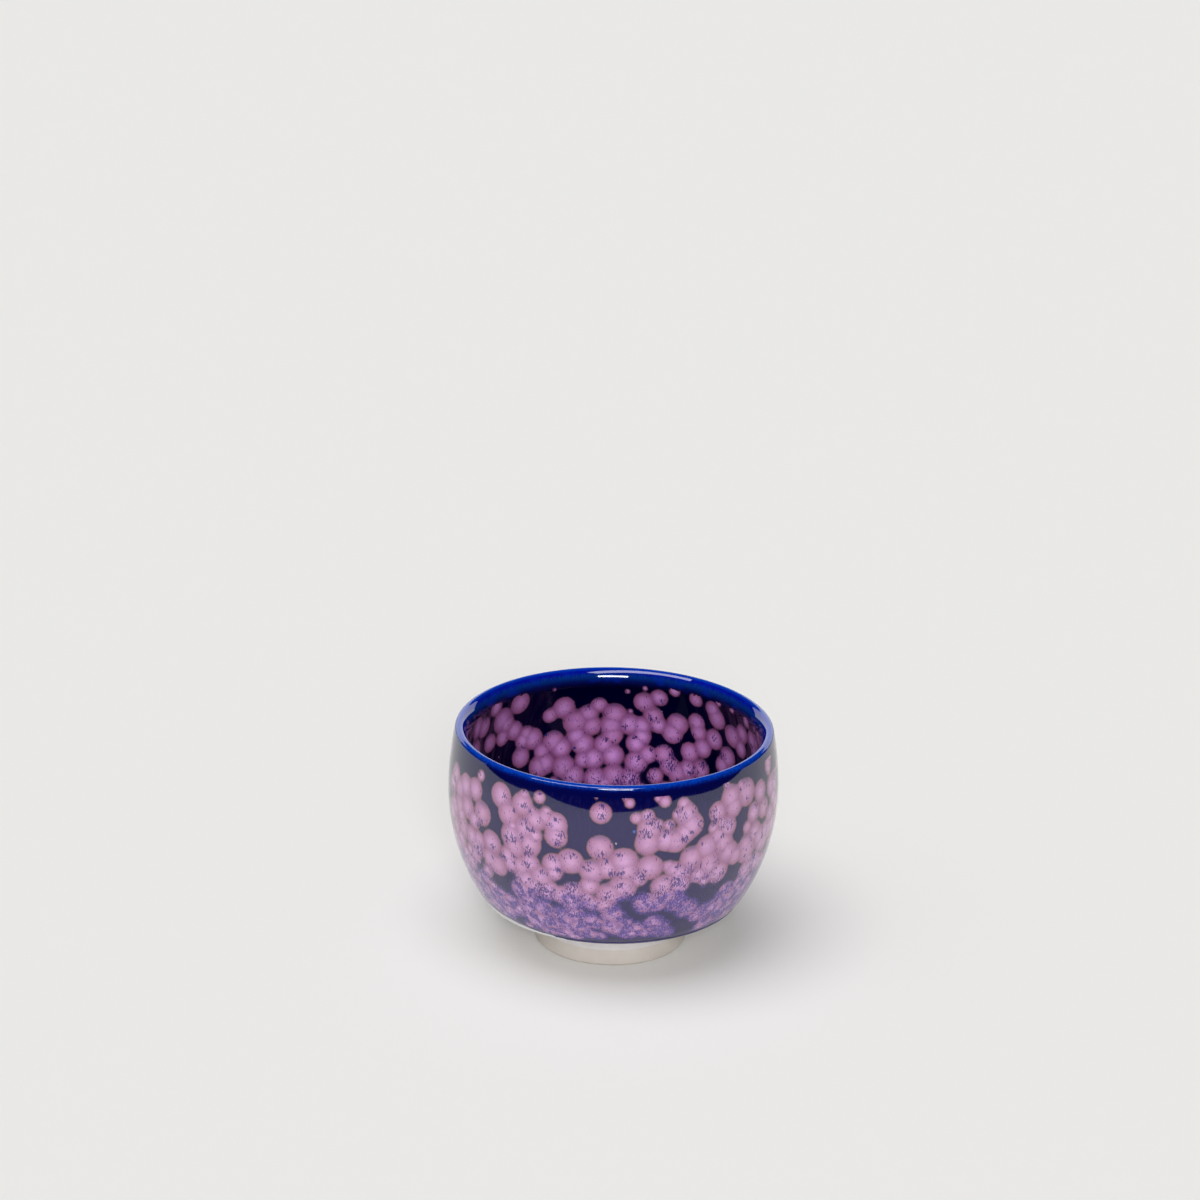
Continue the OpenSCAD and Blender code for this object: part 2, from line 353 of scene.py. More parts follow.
floor_z = foot_h + floor_t + lining_t
inner_flank_r = cavity_r - flank_c[0]
floor_tan = math.tan(math.radians(45 - floor_edge / 2))
turn_sin = math.sin(math.radians(inner_turn_start))
turn_cos = math.cos(math.radians(inner_turn_start))
inner_turn_r = (
    (belly_h - floor_z - inner_flank_r * turn_sin - floor_tan * (flank_c[0] + inner_flank_r * turn_cos))
    / (1 - turn_sin - floor_tan * turn_cos))
inner_turn_c = along(flank_c, inner_flank_r - inner_turn_r, inner_turn_start)
floor_r = inner_turn_r + inner_turn_c[0] / math.cos(math.radians(floor_edge))
floor_c = np.array([0, floor_z + floor_r])


def outer_top(t, lip):
    """Centre and radius of the arc above the widest ring, outside, and its slope at the lip."""
    r = body_r - t
    u, v = lip_c - (r, belly_h)
    radius = (lip ** 2 - u ** 2 - v ** 2) / (2 * (u + lip))
    centre = np.array([r - radius, belly_h])
    reach = lip_c - centre
    return centre, radius, -math.degrees(math.atan2(reach[1], reach[0]))


def inner_top(t, bevel):
    """The same for the inside, with its slope at the bevel."""
    r = cavity_r + t
    u, v = bevel_c - (r, belly_h)
    radius = (u ** 2 + v ** 2 - bevel ** 2) / (2 * (bevel - u))
    centre = np.array([r - radius, belly_h])
    reach = bevel_c - centre
    return centre, radius, -math.degrees(math.atan2(reach[1], reach[0]))


def slope_at(centre, radius, z):
    """Slope of an arc at a height."""
    return math.degrees(math.asin((centre[1] - z) / radius))


def arc(centre, radius, start, end, step, side=1):
    """Points of an arc, with their normals: (r, z, normal r, normal z). Side is -1 where the
    surface faces the arc's centre."""
    count = max(2, math.ceil(radius * math.radians(abs(end - start)) / step) + 1)
    angles = np.radians(np.linspace(start, end, count))
    out = np.stack([np.cos(angles), -np.sin(angles)], 1)
    return np.hstack([np.array(centre) + radius * out, side * out])


def outer_run(t, lip, top_z, end, step):
    """The outer surface from a height down to a slope of the turn, t under the glaze."""
    centre, radius, _ = outer_top(t, lip)
    return [
        arc(centre, radius, slope_at(centre, radius, top_z), 0, step),
        arc(flank_c, flank_r - t, 0, turn_start, step),
        arc(turn_c, turn_r - t, turn_start, end, step)]


def bevel_at(bevel, z):
    """Slope of the bevel at a height, on its inner side."""
    return math.degrees(math.asin((z - bevel_c[1]) / bevel)) - 180


def inner_run(t, bevel, top_z, step):
    """The inner surface from a height down to the middle of the floor, t under the glaze."""
    centre, radius, slope = inner_top(t, bevel)
    return [
        arc(bevel_c, bevel, bevel_at(bevel, top_z), slope - 180, step),
        arc(centre, radius, slope, 0, step, -1),
        arc(flank_c, inner_flank_r + t, 0, inner_turn_start, step, -1),
        arc(inner_turn_c, inner_turn_r + t, inner_turn_start, floor_edge, step, -1),
        arc(floor_c, floor_r + t, floor_edge, 90, step, -1)]


def lip_run(t_out, t_lip, step):
    """The lip from the band's edge outside, over the top, to its edge inside."""
    lip = lip_r - t_lip
    bevel = bevel_r - t_lip
    centre, radius, slope = outer_top(t_out, lip)
    return [
        arc(centre, radius, slope_at(centre, radius, cup_h - band_out), slope, step),
        arc(lip_c, lip, slope, -90 - bevel_slope, step),
        arc(bevel_c, bevel, -90 - bevel_slope, bevel_at(bevel, cup_h - band_in), step)]


def roll_run(step):
    """The rolled edge where the running glaze stopped, from its outer side to the clay."""
    reach = turn_r - glaze_t + roll_r
    back = math.degrees(math.acos((turn_r ** 2 + reach ** 2 - roll_r ** 2) / (2 * turn_r * reach)))
    centre = along(turn_c, reach, glaze_end)
    start = along(turn_c, turn_r, glaze_end - back) - centre
    return glaze_end - back, arc(
        centre, roll_r, -math.degrees(math.atan2(start[1], start[0])), glaze_end + 180, step)


def turned(parts):
    """A run of arcs the other way round."""
    return [part[::-1] for part in reversed(parts)]


def backing(parts):
    """A run of arcs as the side that lies on the clay."""
    return [part * (1, 1, -1, -1) for part in parts]


def straight(start, end):
    """A straight part of the section between two points, facing left of the way it runs."""
    (r0, z0), (r1, z1) = start[:2], end[:2]
    length = math.hypot(r1 - r0, z1 - z0)
    normal = ((z0 - z1) / length, (r1 - r0) / length)
    return np.array([(r0, z0, *normal), (r1, z1, *normal)])


def closed(parts):
    """The parts of a section, with straight parts over the gaps between them off the axis."""
    whole = []
    for here, after in zip(parts, parts[1:] + parts[:1]):
        whole.append(here)
        gap = math.dist(here[-1, :2], after[0, :2])
        if gap > same_point and max(here[-1, 0], after[0, 0]) > row_step:
            whole.append(straight(here[-1], after[0]))
    return whole


def revolve(name, parts):
    """Turns a section, which faces left of the way it runs, round the axis, and keeps the
    section's own normals."""
    rows = [parts[0][0, :2]]
    ends = []
    for part in parts:
        for first, second in zip(part[:-1], part[1:]):
            rows.append(second[:2])
            ends.append((first[2:], second[2:]))
    if math.dist(rows[0], rows[-1]) < same_point:
        rows = rows[:-1]
    angles = np.linspace(0, 2 * math.pi, around, endpoint=False)
    turn = np.stack([np.sin(angles), -np.cos(angles)], 1)
    after = np.roll(turn, -1, 0)
    points = []
    index = []
    total = 0
    for r, z in rows:
        pole = r < same_point
        ring = [(0, 0, z)] if pole else np.column_stack([r * turn, np.full(around, z)])
        index.append(np.full(around, total) if pole else np.arange(total, total + around))
        points.append(ring)
        total += len(ring)
    faces = []
    normals = []
    for i, (start, end) in enumerate(ends):
        high = index[i]
        low = index[(i + 1) % len(rows)]
        corners = [
            (high, start, turn), (low, end, turn),
            (np.roll(low, -1), end, after), (np.roll(high, -1), start, after)]
        if low[0] == low[-1]:
            del corners[2]
        if high[0] == high[-1]:
            del corners[3]
        faces += np.stack([c[0] for c in corners], 1).tolist()
        normals.append(np.stack(
            [np.column_stack([n[0] * way, np.full(around, n[1])]) for _, n, way in corners],
            1).reshape(-1, 3))
    points = np.concatenate(points)
    mesh = bpy.data.meshes.new(name)
    mesh.from_pydata(points.tolist(), [], faces)
    mesh.shade_smooth()
    mesh.normals_split_custom_set(np.concatenate(normals).tolist())
    piece = bpy.data.objects.new(name, mesh)
    bpy.context.scene.collection.objects.link(piece)
    return piece, points


def write_values(piece, name, values):
    """Writes a field on a piece's mesh, one value for each of its points."""
    attribute = piece.data.attributes.new(name, "FLOAT", "POINT")
    attribute.data.foreach_set("value", np.asarray(values, np.float32))


outer_start, roll = roll_run(roll_step)
outer_seen = outer_run(0, lip_r, cup_h - band_out, outer_start, row_step)
outer_back = outer_run(glaze_t, lip_r - lip_glaze_t, cup_h - band_out, glaze_end, hidden_step)
inner_seen = inner_run(0, bevel_r, cup_h - band_in, row_step)
inner_back = inner_run(lining_t, bevel_r - lip_glaze_t, cup_h - band_in, hidden_step)
lip_seen = lip_run(0, 0, lip_step)
lip_back = lip_run(glaze_t, lip_glaze_t, row_step)

outer_section = outer_seen + [roll] + turned(backing(outer_back))
inner_section = turned(inner_seen) + backing(inner_back)
lip_section = turned(lip_seen) + backing(lip_back)


def surface_line(parts):
    """The points of a run from the lip's top down: their heights, how far each lies along
    the surface from the top, and how far from the axis."""
    line = np.concatenate([part[:, :2] for part in parts])
    steps = np.hypot(*np.diff(line, axis=0).T)
    return line[:, 1], np.concatenate([[0], np.cumsum(steps)]), line[:, 0]


def depth_on(line, z):
    """How deep along the surface a height lies."""
    return np.interp(-z, -line[0], line[1])


def radius_on(line, z):
    """How far from the axis the surface lies at a height."""
    return np.interp(-z, -line[0], line[2])


def from_top(parts, top_first):
    """The part of a run that starts at the lip's top."""
    line = np.concatenate(parts)
    top = int(np.argmax(line[:, 1]))
    return [line[top:]] if top_first else [line[:top + 1][::-1]]


outside_line = surface_line(from_top(turned(lip_seen), True) + outer_seen)
inside_line = surface_line(from_top(turned(lip_seen), False) + inner_seen)


def crystal_centres(shares, line):
    """Middles and radii of the crystals of a table, on the surface that the line tells."""
    azimuth, height, size = np.array(shares, float).T
    z = height * pattern_h
    r = radius_on(line, z)
    angle = np.radians(azimuth)
    return np.column_stack([r * np.sin(angle), -r * np.cos(angle), z]), size * crystal_r


def all_round(shares, middle, rng):
    """The table's places, and scattered copies of them on the side that the photograph
    doesn't show."""
    table = np.array(shares, float)
    copies = [table]
    for turn, half in copy_turns:
        near = table[np.abs(table[:, 0] - middle) < half]
        count = len(near)
        moved = near.copy()
        moved[:, 0] = middle + turn - (near[:, 0] - middle) + rng.normal(0, scatter_azimuth, count)
        moved[:, 1] += rng.normal(0, scatter_share, count)
        moved[:, 2] *= rng.uniform(*scatter_size_shares, count)
        copies.append(moved)
    return np.concatenate(copies)


def filled(table, line, heights, tries, rng):
    """The table with more crystals between its own, from one share of the height to
    another, that leave the bare places free."""
    low, high = heights
    tried = np.column_stack([
        rng.uniform(-180, 180, tries), rng.uniform(low, high, tries),
        rng.uniform(*fill_size_shares, tries)])
    # Fewer towards the upper end
    tried = tried[rng.uniform(low, high, tries) > tried[:, 1] - (high - low) / fill_fade]
    bare_at, bare_r = crystal_centres(bare_shares, line)
    whole = table
    for one in tried:
        (at,), (r,) = crystal_centres([one], line)
        centres, radii = crystal_centres(whole, line)
        own = np.linalg.norm(centres - at, axis=1)
        free = np.linalg.norm(bare_at - at, axis=1) > bare_r + r
        if own.min() > fill_gap_share * r and free.all() and (own > fill_gap_share * radii).all():
            whole = np.vstack([whole, one])
    return whole


def crystal_fields(points, centres, radii, tones):
    """For each point, where the crystals melt softly into each other: how far outside them
    it lies in millimetres, how far out and how far up on its crystal, that crystal's tone,
    and how near a seam it is."""
    nearest = np.full(len(points), np.inf)
    for centre, radius in zip(centres, radii):
        nearest = np.minimum(nearest, np.linalg.norm(points - centre, axis=1) - radius)
    crowd = np.zeros(len(points))
    size = np.zeros(len(points))
    rise = np.zeros(len(points))
    tone = np.zeros(len(points))
    close = np.zeros(len(points))
    for centre, radius, own in zip(centres, radii, tones):
        behind = nearest - (np.linalg.norm(points - centre, axis=1) - radius)
        weight = np.exp(behind / melt_width)
        crowd += weight
        size += weight * radius
        rise += weight * (points[:, 2] - centre[2]) / radius
        tone += weight * own
        close += np.exp(behind / seam_width)
    outside = nearest - melt_width * np.log(crowd)
    share = 1 + outside * crowd / size
    seam = np.minimum(2 * (1 - 1 / close), 1)
    return outside / MM, share, rise / crowd, tone / crowd, seam


def spot_field(points, shares, line):
    """How thick the spots of a table lie at each point, from 0 to 1."""
    thick = np.zeros(len(points))
    for centre, radius in zip(*crystal_centres(shares, line)):
        reach = np.linalg.norm(points - centre, axis=1) / radius
        thick = np.maximum(thick, np.clip(needle_reach - reach, 0, 1))
    return thick


def clusters(table, rng):
    """Small clusters of needles, off the middles of some of a table's crystals."""
    chosen = table[rng.uniform(0, 1, len(table)) < cluster_share]
    count = len(chosen)
    way = rng.uniform(0, 2 * math.pi, count)
    off = rng.uniform(*cluster_off_shares, count) * chosen[:, 2] * crystal_r
    return np.column_stack([
        chosen[:, 0] + np.degrees(off * np.cos(way) / body_r),
        chosen[:, 1] + off * np.sin(way) / pattern_h,
        rng.uniform(*cluster_size_shares, count)])


# The outside's table has its middle at azimuth 0, and the inside's across the bowl
rng = np.random.default_rng(random_seed)
outer_table = filled(
    all_round(outer_shares, 0, rng), outside_line, outer_fill_shares, outer_fill_tries, rng)
inner_table = filled(
    all_round(inner_shares, 180, rng), inside_line, inner_fill_shares, inner_fill_tries, rng)
outer_needles = np.vstack([all_round(outer_needle_shares, 0, rng), clusters(outer_table, rng)])
inner_needles = np.vstack([all_round(inner_needle_shares, 180, rng), clusters(inner_table, rng)])


def dress(piece, points, table, needles, line):
    """Writes the fields that the glaze's material reads to a piece."""
    centres, radii = crystal_centres(table, line)
    tones = rng.uniform(0, 1, len(radii))
    edge, share, rise, tone, seam = crystal_fields(points, centres, radii, tones)
    write_values(piece, "edge", edge)
    write_values(piece, "out_share", share)
    write_values(piece, "rise", rise)
    write_values(piece, "tone", tone)
    write_values(piece, "seam", seam)
    left = np.maximum(-points[:, 0] / np.hypot(points[:, 0], points[:, 1]).clip(MM), 0)
    write_values(piece, "above_edge", (points[:, 2] - cobalt_end - cobalt_rise * left ** 2) / MM)
    write_values(piece, "needles", spot_field(points, needles, line))
    write_values(piece, "blue_dot", spot_field(points, blue_dot_shares, line))
    write_values(piece, "pale_dot", spot_field(points, pale_dot_shares, line))
    write_values(piece, "depth", depth_on(line, points[:, 2]) / MM)
    write_values(piece, "height_share", points[:, 2] / pattern_h)


outer_coat, outer_points = revolve("outer_coat", closed(outer_section))
inner_coat, inner_points = revolve("inner_coat", closed(inner_section))
lip_coat, lip_points = revolve("lip_coat", closed(lip_section))
dress(outer_coat, outer_points, outer_table, outer_needles, outside_line)
dress(inner_coat, inner_points, inner_table, inner_needles, inside_line)
lip_outside = np.hypot(lip_points[:, 0], lip_points[:, 1]) > lip_c[0]
write_values(lip_coat, "depth", np.where(
    lip_outside, depth_on(outside_line, lip_points[:, 2]),
    -depth_on(inside_line, lip_points[:, 2])) / MM)


# The patterns in the glazes. A grain is how wide a noise's blotches are and a stretch draws
# them out, downwards where its last number is small. A range holds the two values of a noise
# or field between which a pattern comes in, and a share is how strong it gets.
ragged_grain = 0.6 * MM
dash_grain = 0.22 * MM
patch_grain = 0.8 * MM
streak_grain = 0.5 * MM
cloud_grain = 1.2 * MM
blotch_grain = 1.8 * MM
broad_grain = 5 * MM
dash_stretch = (1, 1, 0.34)
patch_stretch = (1, 1, 0.6)
streak_stretch = (1, 1, 0.3)

# The ground: streaks that come in below the start of the crystals
streak_range = (0.4, 0.7)
streak_depth = 2
streak_share = 0.25

# A crystal's colours. Its pale heart and darker rim are painted shading, as on a dome, and its darker
# seams are painted shade, as in a crease
heart_range = (1, 0.1)
dusty_share = 0.35
violet_range = (0.42, 0.66)
violet_share = 0.22
seam_share = 0.3
dash_range = (0.5, 0.7)
dash_share = 0.14
cap_rise_range = (0.45, 0.92)
cap_tone_range = (0.45, 0.6)
cap_share = 0.55

# The edge of a crystal, in millimetres from it. It frays and reaches further low down.
low_waver = 0.42
fray_share = 0.3
low_fray_share = 0.5
low_reach = 0.16
halo_start = -0.05
halo_width = 0.24
low_halo_range = (0.4, 0.65)
low_halo_widths = (0.1, 0.8)
halo_share = 0.8
outline_range = (-0.45, 0.04)
outline_share = 0.55
inside_range = (0.12, -0.16)
low_inside = 0.15
start_waver = 1.8
start_width = 0.15

# Needles and flecks on the crystals, dense low down, and needles on the ground there
dense_range = (0.4, 0.62)
dense_shares = (0.35, 1.25)
low_body_share = 0.22
needle_limit = 0.35
needle_thick = 0.16
needle_patch_share = 0.3
needle_dash_share = 0.7
needle_range = (-0.03, 0.03)
needle_share = 0.85
fleck_range = (0.6, 0.7)
fleck_share = 0.8
ground_dash_share = 0.75
ground_cloud_share = 0.35
ground_mark_range = (0.56, 0.63)
ground_low_range = (0.55, 1)
ground_edge_range = (0.9, 0.3)
ground_mark_share = 0.7

# The cobalt's lower edge, in millimetres above it, and the dots
end_waver = 0.6
band_range = (0.9, 0.35)
colourless_range = (-0.02, -0.12)
blue_dot_range = (0.2, 0.7)
pale_dot_range = (0.3, 0.8)

# The glaze's slight waves
wave_height = 0.05 * MM
glaze_wave_share = 0.12
lip_wave_share = 0.1


def ground_colour(graph, look, depth, streaks):
    """The cobalt between the crystals: clear near the lip and deep below."""
    colour = graph.mix(graph.step(depth, *look["clear_depths"]), look["clear"], look["deep"])
    start = look["start_depth"]
    strength = graph.step(depth, start, start + streak_depth, 0, streak_share)
    streaked = graph.times(graph.step(streaks, *streak_range), strength)
    return graph.mix(streaked, colour, look["streak"])


def crystal_colour(graph, look, cloud, dash):
    """A crystal: pale in the middle and dusty at its edge, which is painted shading as on a dome, and
    darker along the seams, which is painted shade as in a crease.
    """
    # The pale heart fading to the darker rim is painted shading, as on a dome
    colour = graph.mix(graph.step(graph.value_of("out_share"), *heart_range), look["rim"], look["heart"])
    tone = graph.value_of("tone")
    colour = graph.mix(graph.times(tone, dusty_share), colour, look["dusty"])
    colour = graph.blend(cloud, violet_range, violet_share, colour, look["violet"])
    # Darker along the seams: painted shade, as in the crease between two domes
    colour = graph.mix(graph.times(graph.value_of("seam"), seam_share), colour, look["seam"])
    colour = graph.blend(dash, dash_range, dash_share, colour, look["rim"])
    # Some crystals are bluish grey over their upper part
    cap = graph.times(
        graph.step(graph.value_of("rise"), *cap_rise_range), graph.step(tone, *cap_tone_range))
    return graph.mix(graph.times(cap, cap_share), colour, look["cap"])


def needled(graph, look, body, low, dash):
    """Dark needles on the crystals in patches, a few on the upper ones and dense ones low
    down, with pale flecks between those."""
    patch = graph.noise(graph.place(patch_stretch), patch_grain)
    blotch = graph.noise(graph.place(), blotch_grain, detail=1)
    dense = graph.times(low, graph.step(blotch, *dense_range, *dense_shares))
    body = graph.mix(graph.times(dense, low_body_share), body, look["low_body"])
    thick = graph.math("MAXIMUM", graph.value_of("needles"), dense)
    limit = graph.plus(graph.times(thick, needle_thick), needle_limit)
    grain = graph.plus(graph.times(patch, needle_patch_share), graph.times(dash, needle_dash_share))
    needle = graph.mix(low, look["needle"], look["low_needle"])
    body = graph.blend(graph.minus(limit, grain), needle_range, needle_share, body, needle)
    fleck = graph.times(graph.step(dash, *fleck_range), low)
    return graph.mix(graph.times(fleck, fleck_share), body, look["fleck"])


def ground_marks(graph, look, colour, low, dash, cloud):
    """Violet needles on the ground too, low down."""
    marks = graph.plus(graph.times(dash, ground_dash_share), graph.times(cloud, ground_cloud_share))
    marks = graph.times(graph.step(marks, *ground_mark_range), graph.step(low, *ground_low_range))
    marks = graph.times(marks, graph.step(graph.value_of("edge"), *ground_edge_range))
    return graph.mix(graph.times(marks, ground_mark_share), colour, look["low_mark"])


def glaze_material(name, look):
    """Cobalt glaze with pink crystals. look holds its colours, the two depths in millimetres
    between which the clear glaze near the lip ends, the depth above which no crystal lies,
    and the two shares of the height between which the lower wall's look takes over."""
    material = new_material(
        name, Roughness=0.035, IOR=look["IOR"], Specular_IOR_Level=look["mirror_share"])
    graph = Graph(material)
    ragged = graph.noise(graph.place(), ragged_grain, detail=3, rough=0.6)
    dash = graph.noise(graph.place(dash_stretch), dash_grain, detail=1)
    streaks = graph.noise(graph.place(streak_stretch), streak_grain, detail=3)
    cloud = graph.noise(graph.place(), cloud_grain, detail=3)
    broad = graph.noise(graph.place(), broad_grain)
    height = graph.plus(graph.value_of("height_share"), graph.times(graph.centred(broad), low_waver))
    low = graph.step(height, *look["low_shares"])
    fray = graph.times(graph.centred(ragged), graph.plus(graph.times(low, low_fray_share), fray_share))
    edge = graph.plus(graph.value_of("edge"), graph.minus(fray, graph.times(low, low_reach)))

    # A thin olive shade lies round each crystal, wider and violet low down
    depth = graph.plus(graph.value_of("depth"), graph.centred(streaks))
    colour = ground_colour(graph, look, depth, streaks)
    widened = graph.times(low, graph.step(cloud, *low_halo_range, *low_halo_widths))
    halo = graph.step(edge, graph.plus(widened, halo_width), halo_start)
    shade = graph.mix(low, look["halo"], look["low_halo"])
    colour = graph.mix(graph.times(halo, halo_share), colour, shade)

    body = crystal_colour(graph, look, cloud, dash)
    outline = graph.mix(low, look["outline"], look["low_halo"])
    body = graph.blend(edge, outline_range, outline_share, body, outline)
    body = needled(graph, look, body, low, dash)

    # No crystal lies above the start depth
    inside_start, inside_end = inside_range
    inside = graph.step(edge, inside_start, graph.minus(inside_end, graph.times(low, low_inside)))
    started = graph.plus(graph.value_of("depth"), graph.times(graph.centred(ragged), start_waver))
    start = look["start_depth"]
    inside = graph.times(inside, graph.step(started, start, start + start_width))
    colour = graph.mix(inside, colour, body)
    colour = ground_marks(graph, look, colour, low, dash, cloud)

    # The band along the lower edge, then the colourless edge itself
    above = graph.plus(graph.value_of("above_edge"), graph.times(graph.centred(cloud), end_waver))
    colour = graph.mix(graph.step(above, *band_range), colour, look["band"])
    colour = graph.mix(graph.step(above, *colourless_range), colour, look["colourless"])
    colour = graph.mix(graph.step(graph.value_of("blue_dot"), *blue_dot_range), colour, look["blue_dot"])
    colour = graph.mix(graph.step(graph.value_of("pale_dot"), *pale_dot_range), colour, look["pale_dot"])
    graph.set(graph.shader.inputs["Base Color"], colour)
    graph.bump(broad, wave_height, glaze_wave_share)
    return material


outer_look = {
    "IOR": 1.7, "mirror_share": 0.5,
    "clear_depths": (3.5, 8), "start_depth": 2, "low_shares": (0.63, 0.42),
    "clear": linear(2, 5, 70), "deep": linear(32, 22, 84), "streak": linear(40, 33, 96),
    "heart": linear(222, 170, 218), "rim": linear(164, 110, 146), "dusty": linear(188, 128, 160),
    "violet": linear(166, 120, 186), "seam": linear(152, 98, 150), "cap": linear(90, 82, 136),
    "halo": linear(76, 60, 56), "low_halo": linear(60, 46, 116), "outline": linear(126, 90, 100),
    "needle": linear(52, 40, 118), "low_needle": linear(62, 46, 134),
    "low_body": linear(136, 100, 176), "fleck": linear(244, 200, 252),
    "low_mark": linear(104, 78, 172), "band": linear(52, 42, 98),
    "colourless": linear(222, 220, 222), "blue_dot": linear(70, 96, 176),
    "pale_dot": linear(200, 196, 206)}
# The inside's colours are written darker than the outside's: painted shade for the dimmer inside of the
# bowl
inner_look = {
    "IOR": 1.42, "mirror_share": 0.3,
    "clear_depths": (2.6, 4.4), "start_depth": 3.5, "low_shares": (0.6, 0.3),
    "clear": linear(4, 16, 84), "deep": linear(1, 0, 38), "streak": linear(3, 3, 52),
    "heart": linear(218, 154, 226), "rim": linear(144, 80, 130), "dusty": linear(176, 106, 152),
    "violet": linear(156, 100, 182), "seam": linear(112, 60, 128), "cap": linear(72, 54, 108),
    "halo": linear(30, 18, 34), "low_halo": linear(60, 40, 100), "outline": linear(92, 56, 74),
    "needle": linear(42, 30, 96), "low_needle": linear(56, 40, 120),
    "low_body": linear(110, 66, 140), "fleck": linear(210, 160, 220),
    "low_mark": linear(84, 56, 140), "band": linear(1, 0, 24), "colourless": linear(1, 0, 24),
    "blue_dot": linear(30, 50, 130), "pale_dot": linear(120, 110, 140)}

# The lip: its colour on the crest and the colours that take over from it, each between two
# depths in millimetres along the surface, outwards above zero and inwards below
crest_colour = linear(0, 66, 188)
lip_bands = [
    ((0.4, 1.7), linear(3, 6, 84)),
    ((-0.2, -0.9), linear(4, 16, 158)),
    ((-1, -1.9), linear(4, 50, 132)),
    ((-1.7, -3.3), linear(4, 12, 72))]
lip_streak_grain = 0.45 * MM
lip_streak_range = (0.4, 0.65)
lip_streak_depths = (2, 1.1)
lip_streak_share = 0.45
lip_streak_colour = linear(3, 8, 96)
blot_grain = 3 * MM
blot_range = (0.5, 0.65)
blot_depths = (1.1, 0.3)
blot_share = 0.4
blot_colour = linear(2, 36, 160)
outer_start_depths = (1.3, 2.1)
mirror_depths = (-2.8, -1.6)
mirror_shares = (0.1, 0.5)


def lip_material():
    """Cobalt glaze where it runs thin over the lip: bright on the crest, navy outside, and
    fading into the dark inside."""
    material = new_material("lip_cobalt", Roughness=0.03, IOR=1.7)
    graph = Graph(material)
    streaks = graph.noise(graph.place(streak_stretch), lip_streak_grain, detail=3, rough=0.6)
    blots = graph.noise(graph.place(), blot_grain)
    outward = graph.value_of("depth")
    depth = graph.plus(outward, graph.centred(streaks))
    colour = crest_colour
    for depths, tint in lip_bands:
        colour = graph.mix(graph.step(depth, *depths), colour, tint)
    strength = graph.step(outward, *lip_streak_depths, 0, lip_streak_share)
    streaked = graph.times(graph.step(streaks, *lip_streak_range), strength)
    colour = graph.mix(streaked, colour, lip_streak_colour)
    # The last of it has the colour in which the outer glaze begins
    colour = graph.mix(graph.step(outward, *outer_start_depths), colour, outer_look["clear"])
    bright = graph.times(graph.step(blots, *blot_range), graph.step(outward, *blot_depths))
    colour = graph.mix(graph.times(bright, blot_share), colour, blot_colour)
    graph.set(graph.shader.inputs["Base Color"], colour)
    # It mirrors less where it turns into the bowl
    mirror = graph.step(outward, *mirror_depths, *mirror_shares)
    graph.set(graph.shader.inputs["Specular IOR Level"], mirror)
    graph.bump(graph.noise(graph.place(), broad_grain), wave_height, lip_wave_share)
    return material


clay_grain = 2.5 * MM
clay_range = (0.3, 0.7)
ring_grain = 0.3 * MM
ring_stretch = (0.02, 0.02, 1)
clay_grain_share = 0.4
ring_height = 0.04 * MM
ring_share = 0.25


def clay_material(name, dark, pale):
    """Bare porcelain with the fine rings of the turning tool."""
    material = new_material(name, Roughness=0.55, IOR=1.5)
    graph = Graph(material)
    grain = graph.noise(graph.place(), clay_grain, detail=3)
    rings = graph.noise(graph.place(ring_stretch), ring_grain)
    graph.set(graph.shader.inputs["Base Color"], graph.mix(graph.step(grain, *clay_range), dark, pale))
    graph.bump(graph.plus(graph.times(grain, clay_grain_share), rings), ring_height, ring_share)
    return material


for piece, node, slot, material in (
        (outer_coat, "outer_glaze", "crystal_glaze", glaze_material("outer_crystal_glaze", outer_look)),
        (inner_coat, "inner_glaze", "crystal_glaze", glaze_material("inner_crystal_glaze", inner_look)),
        (lip_coat, "lip_glaze", "lip_glaze", lip_material())):
    piece.data.materials.append(material)
    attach(piece, "root")
    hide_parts(node)

# The body and the foot ring stay the model's own meshes
# Both are one porcelain: the foot's copy is darker and creamier, which is painted shade, and the body's
# is paler
for node, material in (
        ("porcelain_body", clay_material("body_porcelain", linear(226, 222, 221), linear(232, 229, 229))),
        ("foot_ring", clay_material("foot_porcelain_painted_shade", linear(216, 208, 199), linear(221, 214, 206)))):
    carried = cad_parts[node]
    carried.data.materials.clear()
    carried.data.materials.append(material)


# Camera: where the photograph was taken from, and the pixel at which it sees its aim. The
# lens and the sensor are in millimetres.
camera_distance = 793 * MM
camera_elevation = 23.86
aim = Vector((0, 0, 22.7 * MM))
lens = 120
sensor = 36
nearest_seen = 10 * MM
frame_px = 1200
aim_px = (612.3, 829.3)
roll_angle = 1.18


def make_camera():
    """The camera, turned so that the aim lies at its pixel, then rolled round it."""
    data = bpy.data.cameras.new("camera")
    data.lens = lens
    data.sensor_width = sensor
    data.clip_start = nearest_seen
    camera = bpy.data.objects.new("camera", data)
    bpy.context.scene.collection.objects.link(camera)
    tilt = math.radians(camera_elevation)
    back = Vector((0, -math.cos(tilt), math.sin(tilt)))
    camera.location = aim + camera_distance * back
    focal_px = lens / sensor * frame_px
    right = (aim_px[0] - frame_px / 2) / focal_px
    down = (aim_px[1] - frame_px / 2) / focal_px
    ahead = math.hypot(1, down)
    pitch = tilt - math.atan(down)
    yaw = -math.atan(right / ahead / math.cos(tilt))
    level = Matrix.Rotation(-yaw, 3, "Z") @ Matrix.Rotation(math.pi / 2 - pitch, 3, "X")
    turned_by = Matrix.Rotation(math.radians(roll_angle), 3, back)
    camera.rotation_mode = "QUATERNION"
    camera.rotation_quaternion = (turned_by @ level).to_quaternion()
    bpy.context.scene.camera = camera


# Lamps: name, strength, azimuth and elevation from the cup, and how wide the lamp looks
lamps = (
    ("key_light", 0.22, -60, 58, 50),
    ("top_light", 1.66, -35, 78, 50),
    ("front_light", 1.3, 3, 24, 16))
lamp_distance = 2
room_light = 0.22
dark_room_light = 0.01

